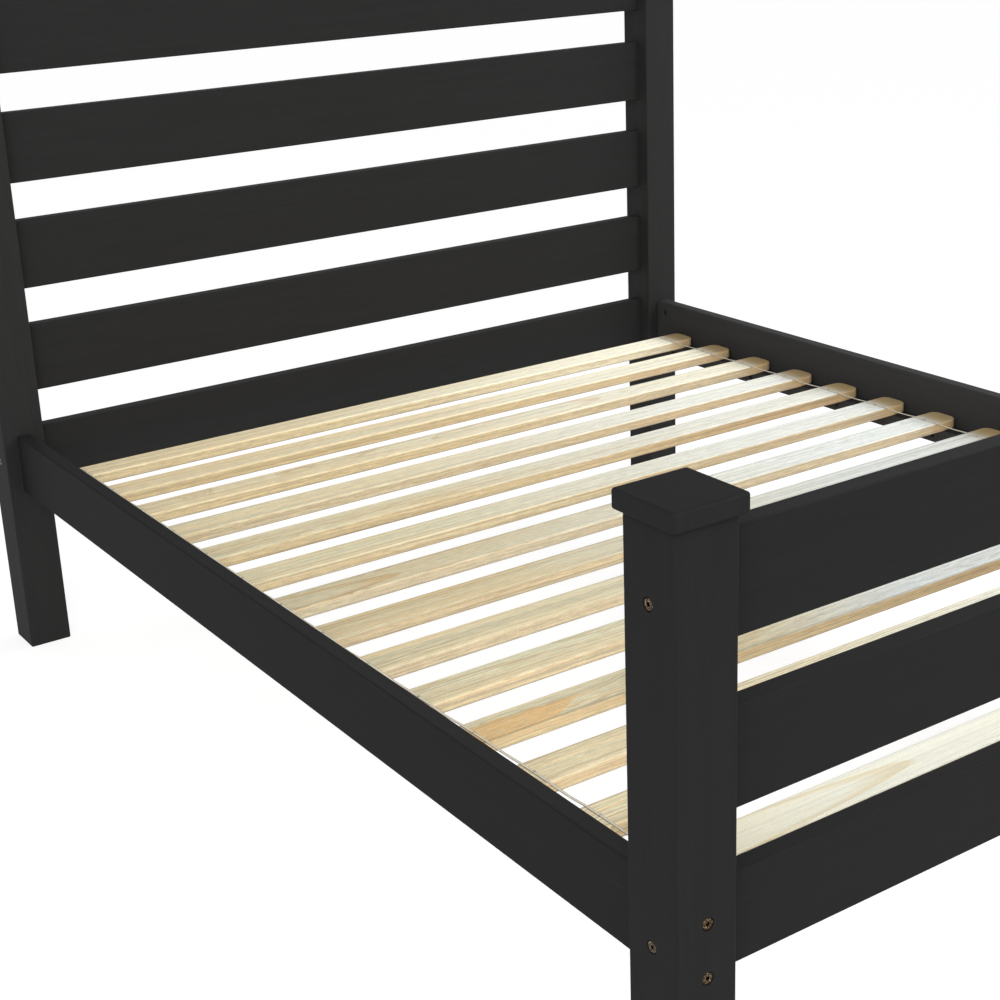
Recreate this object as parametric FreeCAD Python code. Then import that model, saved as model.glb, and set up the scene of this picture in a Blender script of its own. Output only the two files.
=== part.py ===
import FreeCAD, Part
import math
import os

from FreeCAD import Placement, Rotation, Vector

# Wooden double bed frame, all sizes in millimetres.
# X runs across the bed, +Y points to the head end and +Z is up.
# The origin is on the floor, midway between the four posts.

# Outer faces of the posts
frame_width = 1690.0
frame_length = 2144.0

# Posts
post_size = 82.5
post_edge_radius = 2.5
post_foot_chamfer = 2.0
foot_post_height = 877.0
head_post_height = 1305.0

# Post caps
cap_overhang = 8.5
cap_height = 22.5
cap_corner_radius = 5.0
cap_rim_radius = 3.5

# Side rails, and the boards between the posts at each end
board_thickness = 26.0
board_edge_radius = 2.5
rail_bottom = 331.0
rail_height = 116.0
head_rail_height = 120.0
head_board_height = 132.0
head_top_board_height = 140.0
head_board_gap = 72.0
foot_board_height = 123.0
foot_top_board_height = 124.5
foot_board_gap = 78.0

# Slats, and the ledger strips that carry them
slat_count = 14
slat_width = 63.0
slat_thickness = 21.0
slat_length = 1579.0
slat_top = 382.0
slat_pitch = 137.7
first_slat_back = 914.0
slat_corner_radius = 18.0
slat_edge_radius = 4.0
ledger_width = 40.0
ledger_length = 1892.0
ledger_edge_radius = 2.0

# Tapes that keep the slats apart, with a staple on every slat
# They run straight over the first slats from the head, then closer together towards the foot
tape_offset_head = 727.0
tape_offset_foot = 716.0
tape_straight_slats = 9
tape_width = 4.0
tape_thickness = 0.8
tape_end_margin = 12.0
staple_wire = 0.8
staple_crown = 6.4
staple_leg = 6.0
staple_bend_radius = 0.7

# Furniture bolts
bolt_drop = 1.3
bolt_inset = 1.5
rail_bolt_spacing = 68.0
counterbore_radius = 8.0
counterbore_depth = 6.4
bolt_head_radius = 7.4
bolt_head_height = 5.5
bolt_head_chamfer = 0.8
bolt_socket_flats = 5.0
bolt_socket_depth = 3.5
bolt_radius = 3.5
bolt_hole_radius = 4.0
bolt_overrun = 8.0

# Barrel nuts
nut_setback = 28.0
nut_radius = 6.0
nut_length = 20.0
nut_seat_radius = 6.1
nut_slot_width = 1.6
nut_slot_depth = 2.0

# Dowels
dowel_radius = 5.0
dowel_hole_radius = 5.1
dowel_reach = 20.0
dowel_spacing = 72.0
dowel_chamfer = 1.0
hole_end_room = 1.0

# Ledger screws, one under every second slat
slats_per_screw = 2
screw_recess = 12.0
screw_head_radius = 5.0
screw_head_height = 3.2
screw_radius = 2.4
screw_grip = 17.0
screw_tip_length = 5.0
screw_tip_radius = 0.6
screw_cross_width = 1.2
screw_cross_span = 5.6
screw_cross_depth = 1.4

# Boards of each end from the bottom up: name, height, whether bolts hold its ends
head_stack = (
    ("head_rail", head_rail_height, True),
    ("headboard_lower_board", head_board_height, False),
    ("headboard_middle_board", head_board_height, False),
    ("headboard_upper_board", head_board_height, False),
    ("headboard_top_board", head_top_board_height, True),
)
foot_stack = (
    ("foot_rail", rail_height, True),
    ("footboard_middle_board", foot_board_height, False),
    ("footboard_top_board", foot_top_board_height, True),
)

# Lengths closer than this count as equal
tolerance = 1e-6

# Places worked out from the sizes above
axis_x = Vector(1, 0, 0)
axis_y = Vector(0, 1, 0)
axis_z = Vector(0, 0, 1)
sides = {"left": -1, "right": 1}
ends = {"foot": -1, "head": 1}
post_x = (frame_width - post_size) / 2
post_y = (frame_length - post_size) / 2
inner_x = post_x - post_size / 2
inner_y = post_y - post_size / 2
rail_inner_x = post_x - board_thickness / 2
ledger_inner_x = rail_inner_x - ledger_width
nut_seat_depth = (board_thickness + nut_length) / 2 + bolt_inset
bolt_x = post_x - bolt_inset
bolt_y = post_y - bolt_inset
rail_bolt_middle = rail_bottom + rail_height / 2 - bolt_drop
rail_bolt_heights = [rail_bolt_middle + shift * rail_bolt_spacing / 2 for shift in (-1, 1)]
slat_bottom = slat_top - slat_thickness
slat_middles = [first_slat_back - slat_width / 2 - i * slat_pitch for i in range(slat_count)]
tape_knee = slat_middles[tape_straight_slats - 1]


def box_between(low, high):
    return Part.makeBox(high[0] - low[0], high[1] - low[1], high[2] - low[2], Vector(*low))


def rod(start, direction, radius, length):
    return Part.makeCylinder(radius, length, start, direction)


def edges_along(shape, axis):
    """The straight edges that run parallel to an axis."""
    found = []
    for edge in shape.Edges:
        run = edge.Vertexes[-1].Point - edge.Vertexes[0].Point
        if run.Length > 0 and run.cross(axis).Length < tolerance * run.Length:
            found.append(edge)
    return found


def edges_at_height(shape, height):
    """The edges that lie level at one height."""
    return [
        edge
        for edge in shape.Edges
        if all(abs(corner.Z - height) < tolerance for corner in edge.Vertexes)
    ]


def rounded_box(low, high, axis, radius):
    """A box whose four edges along one axis are rounded."""
    box = box_between(low, high)
    return box.makeFillet(radius, edges_along(box, axis))


def stack_boards():
    """End, bottom and top of every head and foot board, and whether bolts hold it."""
    placed = {}
    for end, gap, stack in (("head", head_board_gap, head_stack), ("foot", foot_board_gap, foot_stack)):
        bottom = rail_bottom
        for name, height, bolted in stack:
            placed[name] = {"end": ends[end], "bottom": bottom, "top": bottom + height, "bolted": bolted}
            bottom += height + gap
    return placed


def board_middle(board):
    return (board["bottom"] + board["top"]) / 2


def bolted_joints(boards):
    """Each bolt's point on a post's outer face, its way in, and the side its nut opens to."""
    joints = []
    for side in sides.values():
        for end in ends.values():
            for height in rail_bolt_heights:
                face = Vector(side * bolt_x, end * frame_length / 2, height)
                joints.append((face, axis_y * -end, axis_x * -side))
        for board in boards.values():
            if board["bolted"]:
                height = board_middle(board) - bolt_drop
                face = Vector(side * frame_width / 2, board["end"] * bolt_y, height)
                joints.append((face, axis_x * -side, axis_y))
    return joints


def dowel_joints(boards):
    """The outer end of each dowel, inside its post, and the way it points."""
    joints = []
    for side in sides.values():
        for board in boards.values():
            for shift in (-1, 1):
                height = board_middle(board) + shift * dowel_spacing / 2
                start = Vector(side * (inner_x + dowel_reach), board["end"] * post_y, height)
                joints.append((start, axis_x * -side))
    return joints


def screw_joints():
    """The point on a ledger strip's inner face where each screw goes in, and its direction."""
    height = (rail_bottom + slat_bottom) / 2
    return [
        (Vector(side * ledger_inner_x, middle, height), axis_x * side)
        for side in sides.values()
        for middle in slat_middles[::slats_per_screw]
    ]


def bolt_hole(face, inward, nut_side):
    """Counterbore, clearance hole and nut seat of one bolt."""
    nut_middle = face + inward * (post_size + nut_setback)
    seat_mouth = nut_middle + nut_side * (board_thickness / 2 + bolt_inset)
    hole_length = post_size + nut_setback + bolt_overrun + hole_end_room
    return Part.makeCompound(
        [
            rod(face, inward, counterbore_radius, counterbore_depth),
            rod(face, inward, bolt_hole_radius, hole_length),
            rod(seat_mouth, nut_side * -1, nut_seat_radius, nut_seat_depth),
        ]
    )


def dowel_hole(start, inward):
    length = 2 * (dowel_reach + hole_end_room)
    return rod(start - inward * hole_end_room, inward, dowel_hole_radius, length)


def screw_hole(point, inward):
    """Recess down to the screw's head, and the space that the screw itself fills."""
    recess = rod(point, inward, screw_head_radius, screw_recess)
    return Part.makeCompound([recess, screw_body(point, inward)])


def drill(blank, holes):
    """Cuts the holes that pass through one piece."""
    for hole in holes:
        if hole.BoundBox.intersect(blank.BoundBox):
            blank = blank.cut(hole)
    return blank


def post_box(side, end, bottom, top, half_width):
    low = (side * post_x - half_width, end * post_y - half_width, bottom)
    high = (side * post_x + half_width, end * post_y + half_width, top)
    return low, high


def post_top(end):
    return head_post_height if end > 0 else foot_post_height


def make_post(side, end, holes):
    low, high = post_box(side, end, 0, post_top(end), post_size / 2)
    post = rounded_box(low, high, axis_z, post_edge_radius)
    post = post.makeChamfer(post_foot_chamfer, edges_at_height(post, 0))
    return drill(post, holes)


def make_cap(side, end):
    """Square cap that oversails its post, with all its edges softened."""
    bottom = post_top(end)
    top = bottom + cap_height
    low, high = post_box(side, end, bottom, top, post_size / 2 + cap_overhang)
    cap = rounded_box(low, high, axis_z, cap_corner_radius)
    return cap.makeFillet(cap_rim_radius, edges_at_height(cap, bottom) + edges_at_height(cap, top))


def make_end_board(board, holes):
    """A board between two posts, in the middle of their depth."""
    middle = board["end"] * post_y
    low = (-inner_x, middle - board_thickness / 2, board["bottom"])
    high = (inner_x, middle + board_thickness / 2, board["top"])
    return drill(rounded_box(low, high, axis_x, board_edge_radius), holes)


def make_side_rail(side, holes):
    middle = side * post_x
    low = (middle - board_thickness / 2, -inner_y, rail_bottom)
    high = (middle + board_thickness / 2, inner_y, rail_bottom + rail_height)
    return drill(rounded_box(low, high, axis_y, board_edge_radius), holes)


def make_ledger(side, holes):
    """Strip against the foot of a side rail, which the slat ends lie on."""
    first, last = sorted((side * ledger_inner_x, side * rail_inner_x))
    low = (first, -ledger_length / 2, rail_bottom)
    high = (last, ledger_length / 2, slat_bottom)
    return drill(rounded_box(low, high, axis_y, ledger_edge_radius), holes)


def make_slat(middle, staples):
    low = (-slat_length / 2, middle - slat_width / 2, slat_bottom)
    high = (slat_length / 2, middle + slat_width / 2, slat_top)
    slat = rounded_box(low, high, axis_z, slat_corner_radius)
    rims = edges_at_height(slat, slat_bottom) + edges_at_height(slat, slat_top)
    return drill(slat.makeFillet(slat_edge_radius, rims), staples)


def tape_centre(side, y):
    """How far sideways the middle of a tape lies at one place along the bed."""
    share = max(0.0, (tape_knee - y) / (tape_knee - slat_middles[-1]))
    return side * (tape_offset_head + (tape_offset_foot - tape_offset_head) * share)


def make_tape(side):
    reach = slat_width / 2 - tape_end_margin
    stations = (slat_middles[-1] - reach, tape_knee, slat_middles[0] + reach)
    half = tape_width / 2
    corners = [Vector(tape_centre(side, y) + half, y, slat_top) for y in stations]
    corners += [Vector(tape_centre(side, y) - half, y, slat_top) for y in reversed(stations)]
    outline = Part.makePolygon(corners + corners[:1])
    return Part.Face(outline).extrude(axis_z * tape_thickness)


def make_staple(side, middle):
    """A wire bridge over the tape, with both legs in the slat."""
    centre = tape_centre(side, middle)
    seat = slat_top + tape_thickness
    half = staple_crown / 2
    low = (centre - half, middle - staple_wire / 2, slat_top - staple_leg)
    high = (centre + half, middle + staple_wire / 2, seat + staple_wire)
    bridge = rounded_box(low, high, axis_y, staple_bend_radius)
    inside_low = (low[0] + staple_wire, low[1], low[2])
    inside_high = (high[0] - staple_wire, high[1], seat)
    return bridge.cut(box_between(inside_low, inside_high))


def hexagon_prism(start, direction, flats, depth):
    corner = axis_z * (flats / 2 / math.cos(math.pi / 6))
    corners = [start + Rotation(direction, 60 * turn).multVec(corner) for turn in range(7)]
    return Part.Face(Part.makePolygon(corners)).extrude(direction * depth)


def make_bolt(face, inward):
    """Cylinder-head bolt with a hexagon socket, its head on the counterbore's floor."""
    seat = face + inward * counterbore_depth
    crown = seat - inward * bolt_head_height
    head = rod(crown, inward, bolt_head_radius, bolt_head_height)
    rim = [edge for edge in head.Edges if edge.Closed and edge.CenterOfMass.isEqual(crown, tolerance)]
    head = head.makeChamfer(bolt_head_chamfer, rim)
    shank_length = post_size - counterbore_depth + nut_setback + bolt_overrun
    bolt = head.fuse(rod(seat, inward, bolt_radius, shank_length))
    return bolt.cut(hexagon_prism(crown, inward, bolt_socket_flats, bolt_socket_depth))


def make_nut(face, inward, nut_side):
    """Barrel nut with a cross hole for its bolt and a slot in the open end."""
    middle = face + inward * (post_size + nut_setback)
    mouth = middle + nut_side * (nut_length / 2)
    barrel = rod(mouth, nut_side * -1, nut_radius, nut_length)
    cross_hole = rod(middle - inward * nut_radius, inward, bolt_radius, 2 * nut_radius)
    slot = box_between(
        (-nut_slot_width / 2, -nut_radius, -nut_slot_depth),
        (nut_slot_width / 2, nut_radius, nut_slot_depth),
    )
    slot.Placement = Placement(mouth, Rotation(axis_z, nut_side))
    return barrel.cut([cross_hole, slot])


def make_dowel(start, inward):
    dowel = rod(start, inward, dowel_radius, 2 * dowel_reach)
    return dowel.makeChamfer(dowel_chamfer, [edge for edge in dowel.Edges if edge.Closed])


def screw_body(point, inward):
    """Countersunk head, plain shank and pointed tip of a wood screw."""
    seat = point + inward * screw_recess
    neck = seat + inward * screw_head_height
    tip = point + inward * (ledger_width + screw_grip - screw_tip_length)
    return Part.makeCone(screw_head_radius, screw_radius, screw_head_height, seat, inward).fuse(
        [
            rod(neck, inward, screw_radius, (tip - neck).Length),
            Part.makeCone(screw_radius, screw_tip_radius, screw_tip_length, tip, inward),
        ]
    )


def make_screw(point, inward):
    """Wood screw with a cross recess in its head."""
    screw = screw_body(point, inward)
    bar = box_between(
        (-screw_cross_depth, -screw_cross_width / 2, -screw_cross_span / 2),
        (screw_cross_depth, screw_cross_width / 2, screw_cross_span / 2),
    )
    for turn in (0, 90):
        bar.Placement = Placement(point + inward * screw_recess, Rotation(axis_x, turn))
        screw = screw.cut(bar)
    return screw


def make_nodes():
    boards = stack_boards()
    bolts = bolted_joints(boards)
    dowels = dowel_joints(boards)
    screws = screw_joints()
    staples = [make_staple(side, middle) for side in sides.values() for middle in slat_middles]
    holes = [bolt_hole(*joint) for joint in bolts]
    holes += [dowel_hole(*joint) for joint in dowels]
    holes += [screw_hole(*joint) for joint in screws]

    nodes = {}
    for side_name, side in sides.items():
        for end_name, end in ends.items():
            nodes[f"{end_name}_post_{side_name}"] = make_post(side, end, holes)
            nodes[f"{end_name}_post_cap_{side_name}"] = make_cap(side, end)
        nodes[f"side_rail_{side_name}"] = make_side_rail(side, holes)
        nodes[f"slat_ledger_{side_name}"] = make_ledger(side, holes)
        nodes[f"slat_tape_{side_name}"] = make_tape(side)
    for name, board in boards.items():
        nodes[name] = make_end_board(board, holes)
    for number, middle in enumerate(slat_middles, 1):
        nodes[f"slat_{number:02d}"] = make_slat(middle, staples)
    nodes["tape_staples"] = Part.makeCompound(staples)
    nodes["frame_bolts"] = Part.makeCompound([make_bolt(face, inward) for face, inward, _ in bolts])
    nodes["barrel_nuts"] = Part.makeCompound([make_nut(*joint) for joint in bolts])
    nodes["board_dowels"] = Part.makeCompound([make_dowel(*joint) for joint in dowels])
    nodes["ledger_screws"] = Part.makeCompound([make_screw(*joint) for joint in screws])
    return nodes


os.makedirs("parts", exist_ok=True)
for node_name, shape in make_nodes().items():
    print(node_name, len(shape.Solids), "solids,", "valid" if shape.isValid() else "not valid")
    shape.exportStep(os.path.join("parts", node_name + ".step"))
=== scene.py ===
import math

import bmesh
import bpy
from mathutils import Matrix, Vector


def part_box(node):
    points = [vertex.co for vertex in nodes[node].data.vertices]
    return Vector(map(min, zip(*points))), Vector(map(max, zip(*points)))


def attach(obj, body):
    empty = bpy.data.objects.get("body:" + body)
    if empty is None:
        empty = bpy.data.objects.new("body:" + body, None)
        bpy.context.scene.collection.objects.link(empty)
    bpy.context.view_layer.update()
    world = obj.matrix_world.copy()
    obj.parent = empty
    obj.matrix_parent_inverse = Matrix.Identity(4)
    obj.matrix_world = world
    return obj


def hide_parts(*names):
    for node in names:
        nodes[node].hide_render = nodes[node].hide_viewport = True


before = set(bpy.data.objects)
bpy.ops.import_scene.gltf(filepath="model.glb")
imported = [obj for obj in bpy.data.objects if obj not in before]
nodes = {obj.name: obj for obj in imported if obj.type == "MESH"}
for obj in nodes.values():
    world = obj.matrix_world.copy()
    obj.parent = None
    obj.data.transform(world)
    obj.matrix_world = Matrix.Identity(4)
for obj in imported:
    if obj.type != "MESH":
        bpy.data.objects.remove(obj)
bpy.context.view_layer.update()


# small helpers for node trees

def displayColour(red, green, blue):
    # 0 to 255 as seen on screen, to the linear values that sockets take
    def toLinear(value):
        value = value / 255
        return value / 12.92 if value <= 0.04045 else ((value + 0.055) / 1.055) ** 2.4
    return (toLinear(red), toLinear(green), toLinear(blue), 1.0)


def addNode(tree, kind, **settings):
    node = tree.nodes.new("ShaderNode" + kind)
    for name, value in settings.items():
        setattr(node, name, value)
    return node


def feed(tree, socket, value):
    # a socket is linked, anything else is typed in
    if isinstance(value, bpy.types.NodeSocket):
        tree.links.new(value, socket)
    else:
        socket.default_value = value


def calc(tree, operation, first, second=0.0, third=0.0):
    node = addNode(tree, "Math", operation=operation)
    for socket, value in zip(node.inputs, (first, second, third)):
        feed(tree, socket, value)
    return node.outputs[0]


def product(tree, *factors):
    result = factors[0]
    for factor in factors[1:]:
        result = calc(tree, "MULTIPLY", result, factor)
    return result


def vectorCalc(tree, operation, *values):
    node = addNode(tree, "VectorMath", operation=operation)
    for socket, value in zip(node.inputs, values):
        feed(tree, socket, value)
    return node.outputs


def ramp(tree, value, start, end, low=0.0, high=1.0):
    # smooth step from start to end
    node = addNode(tree, "MapRange", interpolation_type="SMOOTHSTEP")
    settings = {"Value": value, "From Min": start, "From Max": end, "To Min": low, "To Max": high}
    for label, setting in settings.items():
        feed(tree, node.inputs[label], setting)
    return node.outputs["Result"]


def blendColours(tree, factor, first, second, way="MIX"):
    node = addNode(tree, "Mix", data_type="RGBA", blend_type=way)
    feed(tree, node.inputs["Factor"], factor)
    feed(tree, node.inputs[6], first)
    feed(tree, node.inputs[7], second)
    return node.outputs[2]


def splitVector(tree, vector):
    node = addNode(tree, "SeparateXYZ")
    feed(tree, node.inputs[0], vector)
    return node.outputs


def objectPlace(tree):
    return addNode(tree, "TexCoord").outputs["Object"]


def faceNormal(tree):
    return addNode(tree, "NewGeometry").outputs["Normal"]


def stretched(tree, place, scale, offset=0.0):
    # place scaled, by one number or per axis, then shifted by a seed
    scale = scale if isinstance(scale, tuple) else (scale, scale, scale)
    shift = addNode(tree, "CombineXYZ")
    for axis in range(3):
        feed(tree, shift.inputs[axis], offset)
    return vectorCalc(tree, "MULTIPLY_ADD", place, scale, shift.outputs[0])[0]


def noise(tree, place, scale=1.0, detail=2.0, rough=0.5):
    node = addNode(tree, "TexNoise")
    feed(tree, node.inputs["Vector"], place)
    node.inputs["Scale"].default_value = scale
    node.inputs["Detail"].default_value = detail
    node.inputs["Roughness"].default_value = rough
    return node.outputs["Fac"]


def newGroup(name, inputs, outputs):
    tree = bpy.data.node_groups.new(name, "ShaderNodeTree")
    for label, (kind, value) in inputs.items():
        socket = tree.interface.new_socket(label, in_out="INPUT", socket_type="NodeSocket" + kind)
        socket.default_value = value
    for label, kind in outputs.items():
        tree.interface.new_socket(label, in_out="OUTPUT", socket_type="NodeSocket" + kind)
    return tree, tree.nodes.new("NodeGroupInput").outputs, tree.nodes.new("NodeGroupOutput").inputs


def useGroup(tree, group, **values):
    node = tree.nodes.new("ShaderNodeGroup")
    node.node_tree = group
    for label, value in values.items():
        feed(tree, node.inputs[label], value)
    return node.outputs


def newMaterial(name):
    material = bpy.data.materials.new(name)
    material.use_nodes = True
    tree = material.node_tree
    return material, tree, tree.nodes["Principled BSDF"]


def addBump(tree, shader, height, strength, distance):
    bump = addNode(tree, "Bump")
    bump.inputs["Strength"].default_value = strength
    bump.inputs["Distance"].default_value = distance
    feed(tree, bump.inputs["Height"], height)
    tree.links.new(bump.outputs["Normal"], shader.inputs["Normal"])


def dress(name, material):
    mesh = nodes[name].data
    mesh.materials.clear()
    mesh.materials.append(material)


# shared effects

edgeLook = {
    "samples": 6,
    "sharpSpan": (0.995, 0.90),             # cosine of the turn, from a flat face to an arris
    "brokenScale": 60, "brokenSpan": (0.35, 0.6),
}


def makeEdgeGroup():
    # 1 along the arrises, 0 on flat faces
    tree, given, out = newGroup(
        "arris",
        {"Radius": ("Float", 0.002), "Seed": ("Float", 0.0)},
        {"Edge": "Float"},
    )
    bevel = addNode(tree, "Bevel", samples=edgeLook["samples"])
    tree.links.new(given["Radius"], bevel.inputs["Radius"])
    turned = vectorCalc(tree, "DOT_PRODUCT", bevel.outputs["Normal"], faceNormal(tree))["Value"]
    sharp = ramp(tree, turned, *edgeLook["sharpSpan"])
    broken = noise(tree, stretched(tree, objectPlace(tree), edgeLook["brokenScale"], given["Seed"]), detail=3.0)
    feed(tree, out["Edge"], product(tree, sharp, ramp(tree, broken, *edgeLook["brokenSpan"])))
    return tree


figureLook = {
    "wave": (1.7, 7, 7),                    # how fast the rings wander, along and across
    "years": 110.0, "yearShift": 1.6,       # wide and narrow years
    "rise": (0.40, 0.90), "fall": (0.90, 0.99),     # late wood within one year
    "strong": 45.0, "strongSpan": (0.3, 0.65), "weakest": 0.35,     # strong and weak years
    "patch": (2.2, 26, 26), "patchSpan": (0.46, 0.72),
    "fibre": (40, 300, 300),
    "streak": (0.9, 230, 230), "streakSpan": (0.50, 0.68),
    "fineShare": 0.38,                      # fibres against streaks
    "lateHeight": 0.5,
}


def makePineGroup():
    # growth rings round a pith that lies roughly along the board, and fibres along it
    tree, given, out = newGroup(
        "pineFigure",
        {
            "Pith": ("Vector", (0, 0, 0)),
            "Tilt": ("Vector", (0, 0, 0)),
            "Ring": ("Float", 0.004),
            "Waviness": ("Float", 0.006),
            "Seed": ("Float", 0.0),
        },
        {"Late Wood": "Float", "Patch": "Float", "Streak": "Float", "Fibre": "Float", "Height": "Float"},
    )
    place = objectPlace(tree)
    seed = given["Seed"]

    def seededNoise(name, *settings):
        return noise(tree, stretched(tree, place, figureLook[name], seed), 1.0, *settings)

    def noiseOverRadius(pitch):
        node = addNode(tree, "TexNoise", noise_dimensions="1D")
        feed(tree, node.inputs["W"], calc(tree, "MULTIPLY_ADD", radius, pitch, seed))
        return node

    slow = addNode(tree, "TexNoise")
    feed(tree, slow.inputs["Vector"], stretched(tree, place, figureLook["wave"], seed))
    slow.inputs["Detail"].default_value = 1.0
    waves = splitVector(tree, vectorCalc(tree, "SUBTRACT", slow.outputs["Color"], (0.5, 0.5, 0.5))[0])
    spot, pith, tilt = (splitVector(tree, vector) for vector in (place, given["Pith"], given["Tilt"]))
    squares = []
    for axis in ("Y", "Z"):
        away = calc(tree, "SUBTRACT", spot[axis], pith[axis])
        away = calc(tree, "SUBTRACT", away, product(tree, spot["X"], tilt[axis]))
        away = calc(tree, "MULTIPLY_ADD", waves[axis], given["Waviness"], away)
        squares.append(product(tree, away, away))
    radius = calc(tree, "SQRT", calc(tree, "ADD", *squares))

    years = noiseOverRadius(figureLook["years"])
    years.inputs["Detail"].default_value = 0.0
    ring = calc(tree, "DIVIDE", radius, given["Ring"])
    share = calc(tree, "FRACT", calc(tree, "MULTIPLY_ADD", years.outputs["Fac"], figureLook["yearShift"], ring))
    strength = noiseOverRadius(figureLook["strong"]).outputs["Fac"]
    late = product(tree, ramp(tree, share, *figureLook["rise"]),
                   ramp(tree, share, *figureLook["fall"], 1.0, 0.0),
                   ramp(tree, strength, *figureLook["strongSpan"], figureLook["weakest"], 1.0))

    patch = ramp(tree, seededNoise("patch", 1.5), *figureLook["patchSpan"])
    fibre = seededNoise("fibre", 2.0, 0.6)
    streak = seededNoise("streak", 1.0, 0.6)
    fineShare = figureLook["fineShare"]
    fibre = calc(tree, "MULTIPLY_ADD", fibre, fineShare, product(tree, streak, 1.0 - fineShare))

    feed(tree, out["Late Wood"], late)
    feed(tree, out["Patch"], patch)
    feed(tree, out["Streak"], ramp(tree, streak, *figureLook["streakSpan"]))
    feed(tree, out["Fibre"], fibre)
    feed(tree, out["Height"], calc(tree, "MULTIPLY_ADD", late, figureLook["lateHeight"], fibre))
    return tree


grainLook = {
    "bendScale": 0.16, "bend": 5.0,
    "figureScale": 1, "fineScale": 5, "figureShare": 0.6,
    "rubbedScale": 1.7, "rubbedSpan": (0.58, 0.72),
    "peelScale": 420.0,                     # orange peel of the paint
    "peelHeight": 0.25, "figureHeight": 0.8,
}


def makePaintGroup():
    # what is left of the grain under the paint, with faint rubbed strokes on it
    tree, given, out = newGroup(
        "paintedGrain",
        {
            "Stretch": ("Vector", (1, 1, 1)),
            "Seed": ("Float", 0.0),
        },
        {"Grain": "Float", "Rubbed": "Float", "Height": "Float"},
    )
    place = objectPlace(tree)
    along = vectorCalc(tree, "MULTIPLY", place, given["Stretch"])[0]

    def seededPlace(vector, name):
        return stretched(tree, vector, grainLook[name], given["Seed"])

    bend = addNode(tree, "TexNoise")
    feed(tree, bend.inputs["Vector"], seededPlace(along, "bendScale"))
    bent = vectorCalc(tree, "MULTIPLY_ADD", bend.outputs["Color"], (grainLook["bend"],) * 3, along)[0]
    figure = noise(tree, seededPlace(bent, "figureScale"))
    fine = noise(tree, seededPlace(along, "fineScale"), rough=0.65)
    orangePeel = noise(tree, place, grainLook["peelScale"], 1.0)
    rubbed = noise(tree, seededPlace(along, "rubbedScale"), detail=4.0, rough=0.7)
    figureShare = grainLook["figureShare"]
    fineGrain = product(tree, fine, 1.0 - figureShare)
    feed(tree, out["Grain"], calc(tree, "MULTIPLY_ADD", figure, figureShare, fineGrain))
    feed(tree, out["Rubbed"], ramp(tree, rubbed, *grainLook["rubbedSpan"]))
    raised = calc(tree, "MULTIPLY_ADD", orangePeel, grainLook["peelHeight"], fine)
    feed(tree, out["Height"], calc(tree, "MULTIPLY_ADD", figure, grainLook["figureHeight"], raised))
    return tree


arrisGroup = makeEdgeGroup()
pineGroup = makePineGroup()
paintGroup = makePaintGroup()
print("shared effects ready")


# black paint on posts, boards, rails and ledgers

paintLook = {
    "colour": (45, 45, 45),
    "grainColour": (43, 43, 43), "grainSpan": (0.38, 0.62),
    "rubbedColour": (47, 47, 47), "rubbedShare": 0.5,
    "arrisColour": (48, 48, 48), "arrisShare": 0.35, "arrisRadius": 0.0016,
    "topColour": (33, 33, 33), "topSpan": (0.7, 1.0),       # painted shade: a darker paint on what faces up, by the height of its normal, against the stronger light on top
    "roughness": 0.60, "grainRoughness": 0.16, "rubbedRoughness": -0.06,
    "sheen": 0.02,                  # specular level, very low for a dead flat paint
    "grainStrength": 0.35, "grainDepth": 0.00004,
}
grainRuns = {
    "upright": (70, 70, 3.0),
    "across": (2.2, 70, 70),
    "lengthwise": (70, 2.2, 70),
}
# run of the grain, seed, painted light (a lighter or darker copy of the paint for each place, against how
# strongly the lamps light it), share of the painted top shade
paintPlaces = {
    "headPosts": ("upright", 1.7, 1.32, 1.0),
    "footPosts": ("upright", 1.7, 0.89, 0.85),
    "headBoards": ("across", 4.3, 1.16, 0.25),
    "footBoards": ("across", 4.3, 0.86, 0.25),
    "leftRail": ("lengthwise", 8.1, 0.83, 0.0),
    "rightRail": ("lengthwise", 8.1, 1.95, 1.0),
}


def makePaint(place, run, seed, shade, topPaintedShadeShare):
    material, tree, shader = newMaterial("blackPaint_" + place)
    grain = useGroup(tree, paintGroup, Stretch=grainRuns[run], Seed=seed)
    edge = useGroup(tree, arrisGroup, Radius=paintLook["arrisRadius"], Seed=seed)["Edge"]
    colour = blendColours(tree, ramp(tree, grain["Grain"], *paintLook["grainSpan"]),
                          displayColour(*paintLook["grainColour"]), displayColour(*paintLook["colour"]))
    # painted shade on the faces that look up
    topPaintedShadeMask = ramp(tree, splitVector(tree, faceNormal(tree))["Z"], *paintLook["topSpan"], 0.0, topPaintedShadeShare)
    for share, name in (
        (product(tree, grain["Rubbed"], paintLook["rubbedShare"]), "rubbedColour"),
        (product(tree, edge, paintLook["arrisShare"]), "arrisColour"),
        (topPaintedShadeMask, "topColour"),
    ):
        colour = blendColours(tree, share, colour, displayColour(*paintLook[name]))
    # painted light: each place gets a lighter or darker copy of the black, against how the lamps light it
    colour = blendColours(tree, 1.0, colour, (shade, shade, shade, 1.0), "MULTIPLY")
    feed(tree, shader.inputs["Base Color"], colour)
    middle = paintLook["roughness"] - paintLook["grainRoughness"] / 2
    rough = calc(tree, "MULTIPLY_ADD", grain["Grain"], paintLook["grainRoughness"], middle)
    rough = calc(tree, "MULTIPLY_ADD", grain["Rubbed"], paintLook["rubbedRoughness"], rough)
    feed(tree, shader.inputs["Roughness"], rough)
    shader.inputs["Specular IOR Level"].default_value = paintLook["sheen"]
    addBump(tree, shader, grain["Height"], paintLook["grainStrength"], paintLook["grainDepth"])
    return material


paints = {place: makePaint(place, *settings) for place, settings in paintPlaces.items()}
for name in nodes:
    if name.startswith(("head", "foot")):
        dress(name, paints[name[:4] + ("Posts" if "post" in name else "Boards")])
    elif name.startswith(("side_rail", "slat_ledger")):
        dress(name, paints["leftRail" if name.endswith("left") else "rightRail"])
print("frame painted")


# bare pine slats

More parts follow.
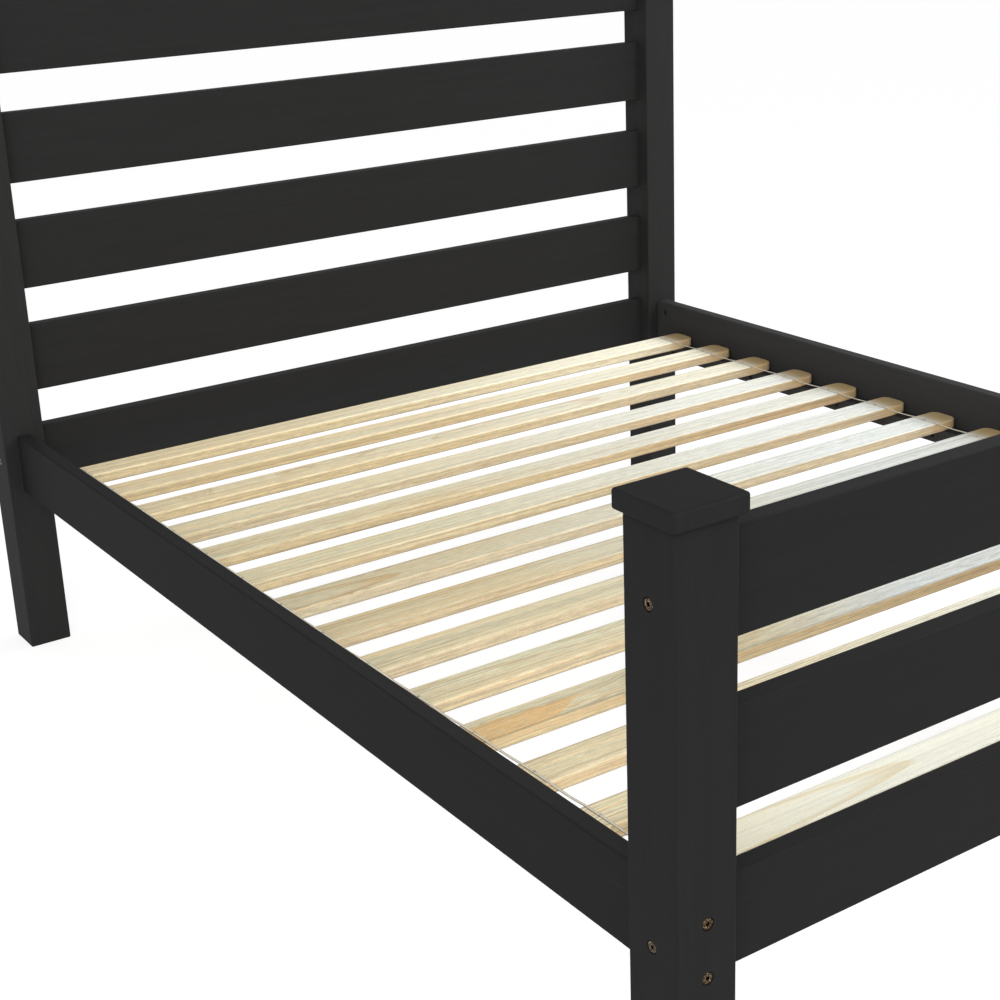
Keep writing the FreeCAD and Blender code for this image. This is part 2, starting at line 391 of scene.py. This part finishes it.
pineTones = {
    "sideEarly": (232, 212, 168), "sideLate": (198, 156, 102),
    "sidePale": (232, 218, 186), "sideTan": (190, 160, 118), "sideFar": (240, 228, 196),
    # sideFar: painted light, the sides paler towards the right
    "topEarly": (228, 215, 180), "topGreen": (219, 213, 182),
    "topLate": (188, 156, 106), "topTan": (214, 182, 130),
    "paleEarly": (231, 228, 210), "paleLate": (212, 200, 166),      # painted light, tops paler towards the right, warm
    "coolEarly": (226, 231, 229), "coolLate": (206, 206, 194),      # painted light and reflection, tops paler and cooler towards the right
    "end": (184, 152, 94), "endSide": (230, 197, 146),              # painted shade of the right rail on the slat ends, brown, on top and on the side
    "flame": (200, 154, 96), "paleFlame": (208, 186, 134), "tongue": (221, 180, 120),
}
pineTones = {name: displayColour(*tone) for name, tone in pineTones.items()}

# spans run along the slat from left to right, in metres, unless they say otherwise
pineLook = {
    "paleSpan": (-0.50, 0.55), "tanSpan": (-0.30, 0.65), "lightSpan": (-0.70, 0.65),
    "nearRail": (-0.73, -0.62), "nearRailLight": 1.14,      # painted light: sides a little paler beside the left rail, against its shadow
    "nearEnd": (0.60, 0.69), "nearEndLight": 0.92,          # painted shade: darker before their right ends
    # painted shade of the right rail on the slat ends: where it starts on top and on the side, and how strong
    "endSpan": (0.712, 0.762), "endSideSpan": (0.688, 0.757), "endShare": 0.85,
    "underEdge": 0.60, "underHeight": 0.0050,               # painted shade along the lower arris
    "backEdge": 0.60, "backSpan": (0.925, 0.965),           # painted shade along the back arris, share of the width
    "frontEdge": 1.12,                                      # painted highlight along the front arris
    "upSpan": (0.35, 0.85),                                 # side to top, by the height of the normal
    "frontSpan": (-0.15, -0.5), "frontUpSpan": (0.2, 0.5),  # front arris, by how its normal leans
    "fibreSpan": (0.34, 0.66), "fibreDark": 0.22, "fibreLight": 0.17,
    "poreScale": 420, "poreSpan": (0.32, 0.68), "speckle": 0.045,
    "streak": 0.55,                                         # how tan the long streaks are
    "sidePatch": 0.6,                                       # patches on the sides against those on top
    "tongueShare": 0.85,
    "waviness": 0.008,
    "roughness": 0.60, "lateRoughness": -0.12,
    "sheen": 0.25,
    "grainStrength": 0.5, "grainDepth": 0.00012,
    "firstSeed": 1.3, "seedStep": 3.17,
}
# pith: how far the tree's middle lies from the slat's own middle, across and down
# tilt: how much it climbs along the slat, ring: width of a year
# late: how dark the late wood is, warm: how tan the patches on top are
# green: how greenish the top is on the left, cool: how cool the painted light and reflection turn the top to the
# right
# pale: how pale the side is on the left, tan: how tan it turns to the right, where it is otherwise painted
# lighter
# light: painted light, how much lighter or darker the top is at the left and right end, then the side
# flame: a tongue of dark wood on top, its tip, reach, place across, strength and tone
# tongue: a broad brown tongue along the front, its start and tip
# back, front: its own painted shade on the back arris and painted highlight on the front arris, a painted shade
# where below 1, fibre: how strong its fibres are
# streak, paleSpan, lightSpan: instead of those in pineLook
slatLook = {
    "slat_01": {"pith": (0.060, -0.050), "tilt": (0.004, 0.006), "ring": 0.0050, "late": 0.55, "warm": 0.20,
                "green": 0.2, "cool": 0.00, "pale": 0.1, "tan": 0.00, "light": (1.17, 1.16, 1.00, 1.14),
                "back": 0.90},
    "slat_02": {"pith": (-0.065, -0.045), "tilt": (0.006, -0.004), "ring": 0.0054, "late": 0.65, "warm": 0.45,
                "green": 0.0, "cool": 0.00, "pale": 0.0, "tan": 0.45, "light": (1.04, 1.06, 0.98, 1.14),
                "back": 0.90},
    "slat_03": {"pith": (0.010, -0.055), "tilt": (-0.003, 0.012), "ring": 0.0050, "late": 0.60, "warm": 0.35,
                "green": 0.1, "cool": 0.10, "pale": 0.1, "tan": 0.30, "light": (0.96, 1.00, 1.00, 1.02),
                "back": 0.90, "flame": (0.33, 0.14, 0.55, 0.35, "flame")},
    "slat_04": {"pith": (0.065, -0.040), "tilt": (0.005, 0.008), "ring": 0.0052, "late": 0.45, "warm": 0.20,
                "green": 0.5, "cool": 0.60, "pale": 0.7, "tan": 0.40, "light": (0.94, 0.95, 0.92, 1.00),
                "back": 0.90},
    "slat_05": {"pith": (-0.022, -0.060), "tilt": (0.004, -0.013), "ring": 0.0052, "late": 0.55, "warm": 0.35,
                "green": 0.7, "cool": 0.50, "pale": 0.2, "tan": 0.80, "light": (0.91, 0.91, 0.97, 1.03)},
    "slat_06": {"pith": (0.080, -0.030), "tilt": (0.003, 0.005), "ring": 0.0054, "late": 0.50, "warm": 0.20,
                "green": 1.0, "cool": 0.75, "pale": 0.4, "tan": 0.55, "light": (0.90, 0.91, 0.99, 1.02)},
    "slat_07": {"pith": (0.015, -0.050), "tilt": (-0.005, 0.014), "ring": 0.0056, "late": 0.60, "warm": 0.40,
                "green": 0.7, "cool": 0.90, "pale": 1.0, "tan": 0.30, "light": (0.76, 0.91, 0.95, 0.95),
                "flame": (-0.50, 0.26, 0.35, 0.55, "flame")},
    "slat_08": {"pith": (-0.060, -0.070), "tilt": (0.004, 0.008), "ring": 0.0050, "late": 0.80, "warm": 0.40,
                "green": 1.0, "cool": 0.90, "pale": 0.7, "tan": 0.50, "light": (0.82, 0.74, 1.06, 1.04)},
    "slat_09": {"pith": (-0.045, -0.075), "tilt": (0.006, 0.010), "ring": 0.0050, "late": 0.75, "warm": 0.40,
                "green": 1.0, "cool": 0.60, "pale": 0.9, "tan": 0.50, "light": (0.86, 0.80, 1.04, 1.02)},
    "slat_10": {"pith": (0.030, -0.080), "tilt": (-0.004, 0.013), "ring": 0.0048, "late": 0.60, "warm": 0.25,
                "green": 1.0, "cool": 0.50, "pale": 0.7, "tan": 0.50, "light": (0.88, 0.85, 1.16, 1.08)},
    "slat_11": {"pith": (-0.006, -0.110), "tilt": (0.004, 0.004), "ring": 0.0044, "late": 0.70, "warm": 0.10,
                "green": 1.0, "cool": 1.00, "pale": 0.1, "tan": 1.00, "light": (0.86, 0.71, 1.20, 0.88),
                "front": 0.86, "tongue": (-0.78, -0.56),
                "paleSpan": (-0.26, 0.12), "lightSpan": (-0.62, -0.32)},
    "slat_12": {"pith": (-0.055, -0.060), "tilt": (0.003, 0.010), "ring": 0.0054, "late": 0.85, "warm": 0.30,
                "green": 0.5, "cool": 0.50, "pale": 0.6, "tan": 0.50, "light": (0.94, 0.89, 1.36, 1.12)},
    "slat_13": {"pith": (0.054, -0.045), "tilt": (0.006, 0.008), "ring": 0.0056, "late": 0.75, "warm": 0.35,
                "green": 0.6, "cool": 0.40, "pale": 0.5, "tan": 0.40, "light": (1.06, 1.00, 1.14, 1.13)},
    "slat_14": {"pith": (-0.004, -0.036), "tilt": (0.002, 0.015), "ring": 0.0064, "late": 0.20, "warm": 0.20,
                "green": 0.5, "cool": 0.20, "pale": 0.5, "tan": 0.30, "light": (1.18, 1.04, 1.10, 1.05),
                "fibre": 0.35, "streak": 0.10, "paleSpan": (-0.95, -0.30),
                "flame": (-0.31, 0.28, 0.5, 0.50, "paleFlame")},
}


flameLook = {"edge": (0.0, 0.07), "fade": (0.10, 0.45)}
# shares of the tongue's length and of the slat's width
tongueLook = {
    "frontSpan": (0.74, 1.08), "front": (-0.03, 0.47),
    "backStart": 0.86, "backSlope": -0.26,
    "scallop": (34, 9, 9), "scallopSeed": 4.0, "scallopSpan": (0.75, 1.0), "scallopDepth": (0.30, 0.05),
    "edge": (0.0, 0.06),
    "speckle": (90, 420, 420), "speckleSeed": 9.0, "speckleSpan": (0.35, 0.60), "speckleShare": (0.70, 1.0),
}


def flameMask(tree, along, across, tip, reach, middle):
    # the outline of one year that comes to a point, solid at the tip and thin along both arms
    inward = calc(tree, "DIVIDE", calc(tree, "SUBTRACT", tip, along), reach)
    aside = product(tree, calc(tree, "SUBTRACT", across, middle), 2.0)
    inward = calc(tree, "SUBTRACT", inward, product(tree, aside, aside))
    return product(tree, ramp(tree, inward, *flameLook["edge"]), ramp(tree, inward, *flameLook["fade"], 1.0, 0.0))


def tongueMask(tree, place, along, across, start, tip):
    # a broad tongue along the front, with a scalloped back edge and a thin tail past its tip
    look = tongueLook
    share = calc(tree, "DIVIDE", calc(tree, "SUBTRACT", along, start), tip - start)
    front = ramp(tree, share, *look["frontSpan"], *look["front"])
    scallop = noise(tree, stretched(tree, place, look["scallop"], look["scallopSeed"]), detail=1.0)
    depth = ramp(tree, share, *look["scallopSpan"], *look["scallopDepth"])
    back = calc(tree, "MULTIPLY_ADD", calc(tree, "SUBTRACT", scallop, 0.5), depth,
                calc(tree, "MULTIPLY_ADD", share, look["backSlope"], look["backStart"]))
    speckle = noise(tree, stretched(tree, place, look["speckle"], look["speckleSeed"]), rough=0.6)
    return product(tree, ramp(tree, calc(tree, "SUBTRACT", across, front), *look["edge"]),
                   ramp(tree, calc(tree, "SUBTRACT", back, across), *look["edge"]),
                   ramp(tree, speckle, *look["speckleSpan"], *look["speckleShare"]))


def sideTone(tree, look, late, patch, along):
    near = blendColours(tree, look["pale"], pineTones["sideEarly"], pineTones["sidePale"])
    # towards the right the side turns tan, or else paler by painted light
    far = blendColours(tree, look["tan"], pineTones["sideFar"], pineTones["sideTan"])
    tone = blendColours(tree, ramp(tree, along, *pineLook["tanSpan"]), near, far)
    tone = blendColours(tree, late, tone, pineTones["sideLate"])
    return blendColours(tree, product(tree, patch, pineLook["sidePatch"]), tone, pineTones["sideTan"])


def topTone(tree, look, late, patch, place, along, across):
    tone = blendColours(tree, look["green"], pineTones["topEarly"], pineTones["topGreen"])
    tone = blendColours(tree, late, tone, pineTones["topLate"])
    tone = blendColours(tree, patch, tone, pineTones["topTan"])
    # painted light and reflection: the tops turn paler and cooler towards the right
    early = blendColours(tree, look["cool"], pineTones["paleEarly"], pineTones["coolEarly"])
    dark = blendColours(tree, look["cool"], pineTones["paleLate"], pineTones["coolLate"])
    pale = blendColours(tree, calc(tree, "MAXIMUM", late, patch), early, dark)
    tone = blendColours(tree, ramp(tree, along, *look.get("paleSpan", pineLook["paleSpan"])), tone, pale)
    if "flame" in look:
        tip, reach, middle, strength, name = look["flame"]
        flame = flameMask(tree, along, across, tip, reach, middle)
        tone = blendColours(tree, product(tree, flame, strength), tone, pineTones[name])
    if "tongue" in look:
        tongue = tongueMask(tree, place, along, across, *look["tongue"])
        tone = blendColours(tree, product(tree, tongue, pineLook["tongueShare"]), tone, pineTones["tongue"])
    return tone


def grainAndPaintedLight(tree, look, fibre, pores, upward, face, along, across, height):
    # fibres and pores, painted light along the slat, and painted shade and highlight on the arrises
    strength = look.get("fibre", 1.0)
    shade = ramp(tree, fibre, *pineLook["fibreSpan"],
                 1.0 - pineLook["fibreDark"] * strength, 1.0 + pineLook["fibreLight"] * strength)
    speckle = pineLook["speckle"]
    speckled = ramp(tree, pores, *pineLook["poreSpan"], 1.0 - speckle, 1.0 + speckle)
    # painted light: each slat lighter or darker along its length, top and side apart, against how the lamps light
    # it
    topLeft, topRight, sideLeft, sideRight = look["light"]
    span = (along, *look.get("lightSpan", pineLook["lightSpan"]))
    top = product(tree, upward, ramp(tree, *span, topLeft, topRight))
    side = product(tree, ramp(tree, *span, sideLeft, sideRight),
                   # painted light beside the left rail and painted shade before the right ends
                   ramp(tree, along, *pineLook["nearRail"], pineLook["nearRailLight"], 1.0),
                   ramp(tree, along, *pineLook["nearEnd"], 1.0, pineLook["nearEndLight"]))
    light = calc(tree, "MULTIPLY_ADD", calc(tree, "SUBTRACT", 1.0, upward), side, top)
    # painted shade along the lower arris of the side
    paintedUnderShade = ramp(tree, height, 0.0, pineLook["underHeight"], pineLook["underEdge"], 1.0)
    # painted shade along the back arris of the top
    atBack = product(tree, upward, ramp(tree, across, *pineLook["backSpan"]))
    back = ramp(tree, atBack, 0.0, 1.0, 1.0, look.get("back", pineLook["backEdge"]))
    # painted highlight along the front arris, a painted shade for slats that set it below 1
    atFront = product(tree, ramp(tree, face["Y"], *pineLook["frontSpan"]),
                      ramp(tree, face["Z"], *pineLook["frontUpSpan"]))
    front = ramp(tree, atFront, 0.0, 1.0, 1.0, look.get("front", pineLook["frontEdge"]))
    return product(tree, shade, speckled, light, paintedUnderShade, back, front)


def makePine(name, look, seed):
    low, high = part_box(name)
    pith = (0.0, (low[1] + high[1]) / 2 + look["pith"][0], (low[2] + high[2]) / 2 + look["pith"][1])
    material, tree, shader = newMaterial("barePine_" + name[-2:])
    figure = useGroup(tree, pineGroup, Pith=pith, Tilt=(0.0, *look["tilt"]), Ring=look["ring"],
                      Waviness=pineLook["waviness"], Seed=seed)
    face = splitVector(tree, faceNormal(tree))
    upward = ramp(tree, face["Z"], *pineLook["upSpan"])
    place = objectPlace(tree)
    along, depth, height = splitVector(tree, place)
    across = calc(tree, "DIVIDE", calc(tree, "SUBTRACT", depth, low[1]), high[1] - low[1])
    height = calc(tree, "SUBTRACT", height, low[2])

    late = product(tree, figure["Late Wood"], look["late"])
    streak = product(tree, figure["Streak"], look.get("streak", pineLook["streak"]))
    patch = calc(tree, "MAXIMUM", product(tree, figure["Patch"], look["warm"]), streak)
    colour = blendColours(tree, upward, sideTone(tree, look, late, patch, along),
                          topTone(tree, look, late, patch, place, along, across))
    pores = noise(tree, stretched(tree, place, pineLook["poreScale"], seed), detail=1.0)
    shade = grainAndPaintedLight(tree, look, figure["Fibre"], pores, upward, face, along, across, height)
    # the grain with the painted light and shade, as a grey that multiplies the colour
    grainAndPaintedLightGrey = addNode(tree, "CombineColor")
    for channel in range(3):
        tree.links.new(shade, grainAndPaintedLightGrey.inputs[channel])
    colour = blendColours(tree, 1.0, colour, grainAndPaintedLightGrey.outputs[0], "MULTIPLY")

    # painted shade of the right rail over the right ends of the slats
    sidePaintedEndShade = product(tree, calc(tree, "SUBTRACT", 1.0, upward), ramp(tree, along, *pineLook["endSideSpan"]))
    paintedEndShade = calc(tree, "MULTIPLY_ADD", upward, ramp(tree, along, *pineLook["endSpan"]), sidePaintedEndShade)
    colour = blendColours(tree, product(tree, paintedEndShade, pineLook["endShare"]), colour,
                          blendColours(tree, upward, pineTones["endSide"], pineTones["end"]))
    feed(tree, shader.inputs["Base Color"], colour)
    feed(tree, shader.inputs["Roughness"],
         calc(tree, "MULTIPLY_ADD", figure["Late Wood"], pineLook["lateRoughness"], pineLook["roughness"]))
    shader.inputs["Specular IOR Level"].default_value = pineLook["sheen"]
    addBump(tree, shader, figure["Height"], pineLook["grainStrength"], pineLook["grainDepth"])
    return material


for number, (name, look) in enumerate(slatLook.items()):
    dress(name, makePine(name, look, pineLook["seedStep"] * number + pineLook["firstSeed"]))
print("slats figured")


# furniture bolts, nuts, dowels, screws, staples

metalLooks = {
    # other: on the bronzed steel a painted glint, on the zinc a darker mottle
    "bronzedSteel": {"colour": (60, 42, 28), "other": (150, 138, 108), "roughness": 0.30, "seed": 2.0},
    "brightZinc": {"colour": (196, 196, 190), "other": (150, 150, 146), "roughness": 0.30, "seed": 5.0},
    # painted shade: a darker copy of the zinc for the nuts that sit deep in the rails
    "dullZinc": {"colour": (104, 102, 98), "other": (70, 68, 64), "roughness": 0.45, "seed": 3.0},
}
metalOf = {
    "frame_bolts": "bronzedSteel",
    "barrel_nuts": "dullZinc",
    "ledger_screws": "brightZinc",
    "tape_staples": "brightZinc",
}
metalSurface = {
    "cloudScale": 620, "cloudSpan": (0.53, 0.62), "cloudRoughness": 0.2,
    "edgeRadius": 0.0006, "rubbedSpan": (0.46, 0.58),
    "turnedScale": 1800, "turnedStrength": 0.25, "turnedDepth": 0.00003,
}
beechLook = {
    "colour": (214, 178, 136), "fleckColour": (176, 132, 90),
    "fleck": (60, 900, 900), "seed": 2.0, "fleckSpan": (0.5, 0.7), "fleckRoughness": 0.1,
    "roughness": 0.60,
    "grainStrength": 0.4, "grainDepth": 0.00005,
}


def makeMetal(name, look):
    # mottled in patches of about a millimetre, and rubbed on the edges; on the bronzed steel the pale patches are
    # painted glints
    material, tree, shader = newMaterial(name)
    place = objectPlace(tree)
    seed = look["seed"]
    surface = metalSurface
    cloud = noise(tree, stretched(tree, place, surface["cloudScale"], seed))
    turned = noise(tree, stretched(tree, place, surface["turnedScale"], seed), detail=1.0)
    edge = useGroup(tree, arrisGroup, Radius=surface["edgeRadius"], Seed=seed)["Edge"]
    rubbed = product(tree, edge, ramp(tree, cloud, *surface["rubbedSpan"]))
    colour = displayColour(*look["colour"])
    for share in (ramp(tree, cloud, *surface["cloudSpan"]), rubbed):
        colour = blendColours(tree, share, colour, displayColour(*look["other"]))
    feed(tree, shader.inputs["Base Color"], colour)
    uneven = surface["cloudRoughness"]
    feed(tree, shader.inputs["Roughness"],
         calc(tree, "MULTIPLY_ADD", cloud, uneven, look["roughness"] - uneven / 2))
    shader.inputs["Metallic"].default_value = 1.0
    addBump(tree, shader, turned, surface["turnedStrength"], surface["turnedDepth"])
    return material


def makeBeech():
    look = beechLook
    material, tree, shader = newMaterial("bareBeech")
    fleck = noise(tree, stretched(tree, objectPlace(tree), look["fleck"], look["seed"]))
    colour = blendColours(tree, ramp(tree, fleck, *look["fleckSpan"]),
                          displayColour(*look["colour"]), displayColour(*look["fleckColour"]))
    feed(tree, shader.inputs["Base Color"], colour)
    feed(tree, shader.inputs["Roughness"],
         calc(tree, "MULTIPLY_ADD", fleck, look["fleckRoughness"], look["roughness"]))
    addBump(tree, shader, fleck, look["grainStrength"], look["grainDepth"])
    return material


metals = {name: makeMetal(name, look) for name, look in metalLooks.items()}
for name, metal in metalOf.items():
    dress(name, metals[metal])
dress("board_dowels", makeBeech())
print("fasteners dressed")


# woven tapes that keep the slats apart

tapeLook = {
    "colour": (216, 208, 190),
    "selvedge": (158, 148, 130), "selvedgeSpan": (0.37, 0.46),      # painted shade along both edges, also the colour of the soiling; from the middle, share of the width
    "width": 0.004,
    "atHead": 0.727,                # how far it lies from the middle of the bed
    "atFoot": 0.716,
    "kneeSlat": "slat_09",          # straight from the head to here
    "footSlat": "slat_14",
    "sag": 0.0012,                  # how far it hangs between two slats
    "drift": 0.0006,                # how far it wanders sideways there
    "driftTurns": (1.0, -0.6, 0.8, -1.0),
    "stepsPerGap": 10,
    "weavePitch": 0.0007, "warps": 4, "weaveStrength": 0.6, "weaveDepth": 0.00012,
    "roughness": (0.75, 0.9),
    "soilScale": 30, "soilSeed": 1.0, "soilSpan": (0.5, 0.8), "soilShare": 0.3,
    # across and up, as shares of the width and the thickness
    "profile": [(-0.5, 0.0), (-0.5, 0.85), (-0.36, 1.0), (-0.30, 0.7),
                (0.30, 0.7), (0.36, 1.0), (0.5, 0.85), (0.5, 0.0)],
}


def makeWeave():
    material, tree, shader = newMaterial("wovenTape")
    # across is 0 to 1 over the width, along is in metres
    across, along, _ = splitVector(tree, addNode(tree, "TexCoord").outputs["UV"])
    weft = calc(tree, "SINE", product(tree, along, math.tau / tapeLook["weavePitch"]))
    warp = calc(tree, "SINE", product(tree, across, math.tau * tapeLook["warps"]))
    woven = product(tree, weft, warp)
    aside = calc(tree, "ABSOLUTE", calc(tree, "SUBTRACT", across, 0.5))
    # painted shade along both edges of the tape, its colour also used for the soiling
    selvedge = displayColour(*tapeLook["selvedge"])
    colour = blendColours(tree, ramp(tree, aside, *tapeLook["selvedgeSpan"]),
                          displayColour(*tapeLook["colour"]), selvedge)
    spot = stretched(tree, objectPlace(tree), tapeLook["soilScale"], tapeLook["soilSeed"])
    soil = noise(tree, spot, detail=3.0)
    soiled = ramp(tree, soil, *tapeLook["soilSpan"], 0.0, tapeLook["soilShare"])
    feed(tree, shader.inputs["Base Color"], blendColours(tree, soiled, colour, selvedge))
    feed(tree, shader.inputs["Roughness"], ramp(tree, woven, -1.0, 1.0, *tapeLook["roughness"]))
    addBump(tree, shader, woven, tapeLook["weaveStrength"], tapeLook["weaveDepth"])
    return material


def middleOfSlat(name):
    low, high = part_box(name)
    return (low[1] + high[1]) / 2


def tapePath(low, high):
    # flat on each slat, hanging a little in the gaps, straight from the head and drifting inward at the foot
    side = -1 if low[0] < 0 else 1
    kneeY = middleOfSlat(tapeLook["kneeSlat"])
    footY = middleOfSlat(tapeLook["footSlat"])

    def middleAt(y):
        share = max(0.0, (kneeY - y) / (kneeY - footY))
        return side * (tapeLook["atHead"] + (tapeLook["atFoot"] - tapeLook["atHead"]) * share)

    turns = tapeLook["driftTurns"]
    slats = sorted((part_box(name)[0][1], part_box(name)[1][1]) for name in slatLook)
    points = []
    for number, (front, back) in enumerate(slats):
        for y in (max(front, low[1]), min(back, high[1])):
            points.append((middleAt(y), y, 0.0))
        if number + 1 == len(slats):
            continue
        gap = slats[number + 1][0] - back
        lean = tapeLook["drift"] * turns[number % len(turns)]
        for step in range(1, tapeLook["stepsPerGap"]):
            share = step / tapeLook["stepsPerGap"]
            belly = 4 * share * (1 - share)
            y = back + gap * share
            points.append((middleAt(y) + lean * belly, y, -tapeLook["sag"] * belly))
    return points


def makeTape(node, material):
    low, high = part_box(node)
    points = tapePath(low, high)
    width = tapeLook["width"]
    height = high[2] - low[2]
    profile = tapeLook["profile"]
    mesh = bmesh.new()
    uvLayer = mesh.loops.layers.uv.new("UVMap")
    rows = []
    for x, y, drop in points:
        rows.append([mesh.verts.new((x + u * width, y, low[2] + drop + v * height)) for u, v in profile])
    for first, second, near, far in zip(rows, rows[1:], points, points[1:]):
        for i in range(len(profile)):
            j = (i + 1) % len(profile)
            face = mesh.faces.new((first[i], second[i], second[j], first[j]))
            face.smooth = False
            corners = ((i, near), (i, far), (j, far), (j, near))
            for loop, (corner, point) in zip(face.loops, corners):
                loop[uvLayer].uv = (profile[corner][0] + 0.5, point[1])
    mesh.faces.new(rows[0])
    mesh.faces.new(list(reversed(rows[-1])))
    bmesh.ops.recalc_face_normals(mesh, faces=mesh.faces[:])
    data = bpy.data.meshes.new(node + "_woven")
    mesh.to_mesh(data)
    mesh.free()
    data.materials.append(material)
    tape = bpy.data.objects.new(node + "_woven", data)
    bpy.context.scene.collection.objects.link(tape)
    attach(tape, "root")
    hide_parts(node)


weave = makeWeave()
for node in ("slat_tape_left", "slat_tape_right"):
    makeTape(node, weave)
print("tapes woven")


# floor, light and camera

studio = {
    "worldLight": 0.63,
    "lamps": {          # place, aim, width and height, watts, spread in degrees
        "softHead": ((2.5, 0.85, 1.95), (0.2, 0.85, 0.35), (1.1, 1.0), 8.0, 60),
        "softFoot": ((2.5, -1.0, 1.95), (0.0, -1.0, 0.35), (1.1, 1.0), 12.0, 60),
        "softLeft": ((-3.6, -3.6, 3.2), (0.0, 0.0, 0.40), (2.4, 2.4), 88, 180),
        "softFront": ((2.6, -4.2, 3.0), (0.2, 0.0, 0.40), (2.0, 2.0), 54, 180),
    },
    "floorSize": 60, "floorCuts": 8,
    "floorGlow": 0.80,
    "floorTone": 0.30,
    "floorBounce": 0.80,
}


def seenByCamera(tree):
    # 1 for rays from the camera, straight, mirrored or through glass, so that they find the bright white
    path = addNode(tree, "LightPath").outputs
    found = calc(tree, "MAXIMUM", path["Is Camera Ray"], path["Is Glossy Ray"])
    return calc(tree, "MAXIMUM", found, path["Is Transmission Ray"])


def evenGrey(value):
    return (value, value, value, 1.0)


def makeFloor():
    cuts = studio["floorCuts"]
    bpy.ops.mesh.primitive_grid_add(x_subdivisions=cuts, y_subdivisions=cuts, size=studio["floorSize"],
                                    location=(0, 0, 0))
    floor = bpy.context.object
    floor.name = "studioFloor"
    material, tree, shader = newMaterial("paleFloor")
    shader.inputs["Base Color"].default_value = evenGrey(studio["floorBounce"])
    shader.inputs["Roughness"].default_value = 1.0
    shader.inputs["Specular IOR Level"].default_value = 0.0
    glow = addNode(tree, "Emission")
    glow.inputs["Strength"].default_value = studio["floorGlow"]
    tone = addNode(tree, "BsdfDiffuse")
    tone.inputs["Color"].default_value = evenGrey(studio["floorTone"])
    seen = addNode(tree, "AddShader")
    pick = addNode(tree, "MixShader")
    for start, end in (
        (glow.outputs[0], seen.inputs[0]),
        (tone.outputs[0], seen.inputs[1]),
        (seenByCamera(tree), pick.inputs[0]),
        (shader.outputs[0], pick.inputs[1]),
        (seen.outputs[0], pick.inputs[2]),
        (pick.outputs[0], tree.nodes["Material Output"].inputs["Surface"]),
    ):
        tree.links.new(start, end)
    floor.data.materials.append(material)


def makeWorld():
    world = bpy.data.worlds.new("studioWorld")
    bpy.context.scene.world = world
    world.use_nodes = True
    tree = world.node_tree
    background = tree.nodes["Background"]
    background.inputs["Color"].default_value = evenGrey(1.0)
    strength = addNode(tree, "MapRange")
    feed(tree, strength.inputs["Value"], seenByCamera(tree))
    strength.inputs["To Min"].default_value = studio["worldLight"]
    strength.inputs["To Max"].default_value = 1.0
    tree.links.new(strength.outputs["Result"], background.inputs["Strength"])


def makeLamp(name, place, target, size, watts, spread):
    data = bpy.data.lights.new(name, "AREA")
    data.shape = "RECTANGLE"
    data.size, data.size_y = size
    data.energy = watts
    data.spread = math.radians(spread)
    lamp = bpy.data.objects.new(name, data)
    bpy.context.scene.collection.objects.link(lamp)
    lamp.location = place
    aim = Vector(target) - Vector(place)
    lamp.rotation_euler = aim.to_track_quat("-Z", "Y").to_euler()


view = {
    "place": (-1.8411, -2.2916, 1.4979),
    "turn": (70.256, 2.017, -34.611),       # degrees
    "lens": 63.51, "sensor": 36,
    "shift": (-0.01875, -0.01952),
    "reach": 200,
}


def makeCamera():
    data = bpy.data.cameras.new("camera")
    data.sensor_width = view["sensor"]
    data.lens = view["lens"]
    data.shift_x, data.shift_y = view["shift"]
    data.clip_end = view["reach"]
    camera = bpy.data.objects.new("camera", data)
    bpy.context.scene.collection.objects.link(camera)
    camera.location = view["place"]
    camera.rotation_euler = [math.radians(angle) for angle in view["turn"]]
    bpy.context.scene.camera = camera


makeFloor()
makeWorld()
for name, settings in studio["lamps"].items():
    makeLamp(name, *settings)
makeCamera()
bpy.context.scene.view_settings.view_transform = "Standard"
print("studio set")
